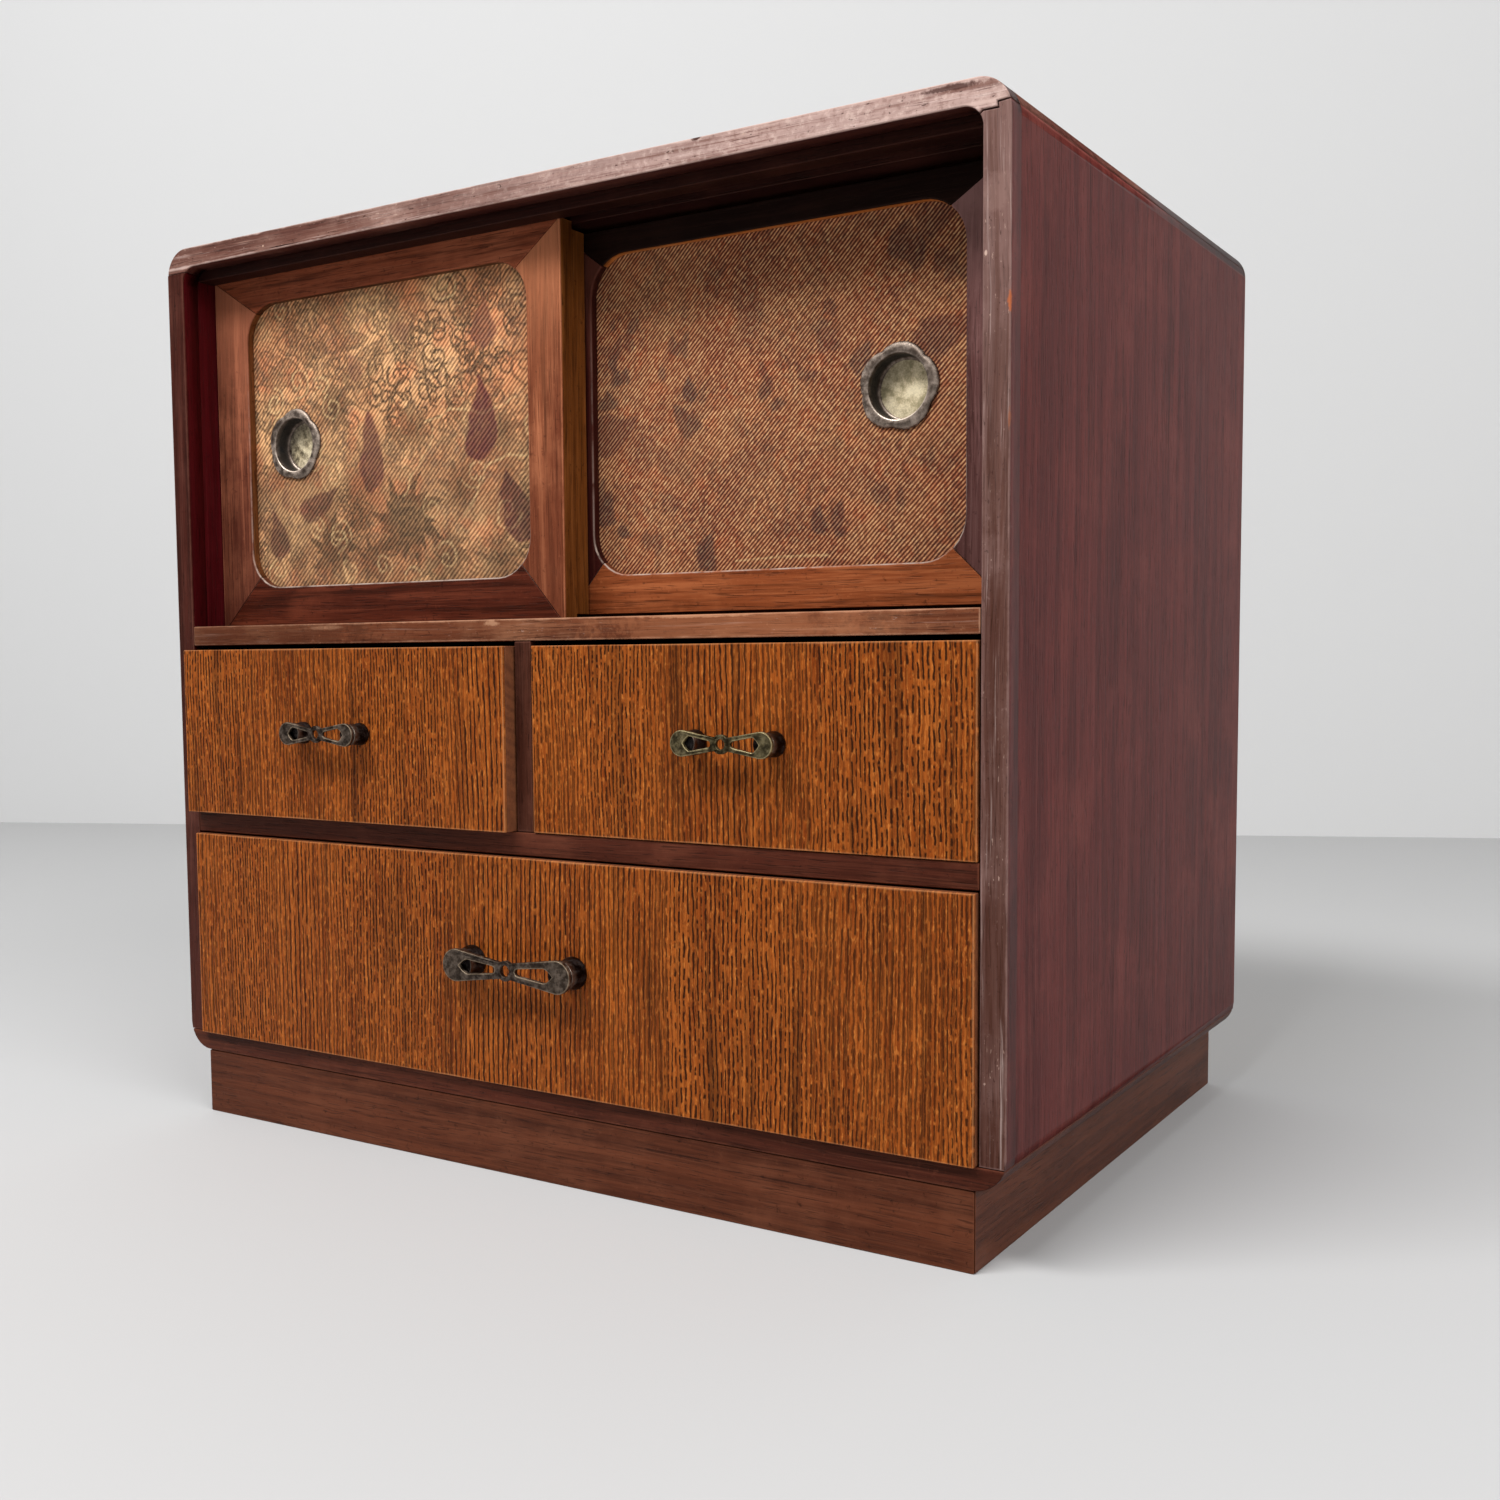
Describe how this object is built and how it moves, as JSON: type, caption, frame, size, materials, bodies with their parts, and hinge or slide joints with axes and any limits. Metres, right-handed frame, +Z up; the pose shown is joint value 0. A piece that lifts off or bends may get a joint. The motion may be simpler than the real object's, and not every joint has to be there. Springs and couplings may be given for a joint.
{
  "type": "sliding-door storage chest",
  "caption": "Small wooden storage chest with rounded corners: sliding doors with printed cloth panels over drawers with pierced metal handles, on a plinth.",
  "frame": {"origin": "middle of the bounding box at the floor, with the drawers as they stand in the rest pose", "axes": "+Z up, front of the chest towards -Y, +X to the right seen from the front"},
  "size_m": [0.5, 0.3764, 0.4879],
  "materials": {
    "red_brown_lacquer": "worn satin lacquer",
    "dark_maroon_lacquer": "worn satin lacquer",
    "door_frame_wood": "worn satin lacquer",
    "oak_veneer": "open-pored satin veneer",
    "plain_softwood": "bare planed wood",
    "printed_cloth_panel": "printed cotton twill on thin board",
    "aged_nickel": "worn nickel plate",
    "dark_bronze": "dark aged bronze",
    "blackened_iron": "blackened"
  },
  "bodies": {
    "cabinet": {"top_board": "red_brown_lacquer", "bottom_board": "red_brown_lacquer", "left_side_board": "dark_maroon_lacquer", "right_side_board": "dark_maroon_lacquer", "back_panel": "plain_softwood", "left_corner_block": "red_brown_lacquer", "right_corner_block": "red_brown_lacquer", "door_shelf": "red_brown_lacquer", "upper_door_track": "dark_maroon_lacquer", "drawer_rail": "red_brown_lacquer", "left_runner": "plain_softwood", "centre_runner": "plain_softwood", "right_runner": "plain_softwood", "drawer_divider": "dark_maroon_lacquer", "plinth_front": "red_brown_lacquer", "plinth_back": "red_brown_lacquer", "plinth_left": "red_brown_lacquer", "plinth_right": "red_brown_lacquer"},
    "left_door": {"left_door_left_stile": "door_frame_wood", "left_door_right_stile": "door_frame_wood", "left_door_top_rail": "door_frame_wood", "left_door_bottom_rail": "door_frame_wood", "left_door_panel": "printed_cloth_panel", "left_door_pull": "aged_nickel"},
    "right_door": {"right_door_left_stile": "door_frame_wood", "right_door_right_stile": "door_frame_wood", "right_door_top_rail": "door_frame_wood", "right_door_bottom_rail": "door_frame_wood", "right_door_panel": "printed_cloth_panel", "right_door_pull": "aged_nickel"},
    "upper_left_drawer": {"upper_left_drawer_face": "oak_veneer", "upper_left_drawer_front": "plain_softwood", "upper_left_drawer_left_side": "plain_softwood", "upper_left_drawer_right_side": "plain_softwood", "upper_left_drawer_back": "plain_softwood", "upper_left_drawer_bottom": "plain_softwood", "upper_left_drawer_handle_plate": "dark_bronze", "upper_left_drawer_handle_post_left": "blackened_iron", "upper_left_drawer_handle_post_right": "blackened_iron"},
    "upper_right_drawer": {"upper_right_drawer_face": "oak_veneer", "upper_right_drawer_front": "plain_softwood", "upper_right_drawer_left_side": "plain_softwood", "upper_right_drawer_right_side": "plain_softwood", "upper_right_drawer_back": "plain_softwood", "upper_right_drawer_bottom": "plain_softwood", "upper_right_drawer_handle_plate": "dark_bronze", "upper_right_drawer_handle_post_left": "blackened_iron", "upper_right_drawer_handle_post_right": "blackened_iron"},
    "lower_drawer": {"lower_drawer_face": "oak_veneer", "lower_drawer_front": "plain_softwood", "lower_drawer_left_side": "plain_softwood", "lower_drawer_right_side": "plain_softwood", "lower_drawer_back": "plain_softwood", "lower_drawer_bottom": "plain_softwood", "lower_drawer_handle_plate": "dark_bronze", "lower_drawer_handle_post_left": "blackened_iron", "lower_drawer_handle_post_right": "blackened_iron"}
  },
  "joints": [
    {"name": "left_door_slide", "type": "slide", "parent": "cabinet", "child": "left_door", "axis": [1, 0, 0], "range_m": [0, 0.228]},
    {"name": "right_door_slide", "type": "slide", "parent": "cabinet", "child": "right_door", "axis": [1, 0, 0], "range_m": [-0.228, 0]},
    {"name": "upper_left_drawer_slide", "type": "slide", "parent": "cabinet", "child": "upper_left_drawer", "axis": [0, -1, 0], "range_m": [-0.0072, 0.24]},
    {"name": "upper_right_drawer_slide", "type": "slide", "parent": "cabinet", "child": "upper_right_drawer", "axis": [0, -1, 0], "range_m": [0, 0.24]},
    {"name": "lower_drawer_slide", "type": "slide", "parent": "cabinet", "child": "lower_drawer", "axis": [0, -1, 0], "range_m": [-0.0025, 0.24]}
  ]
}
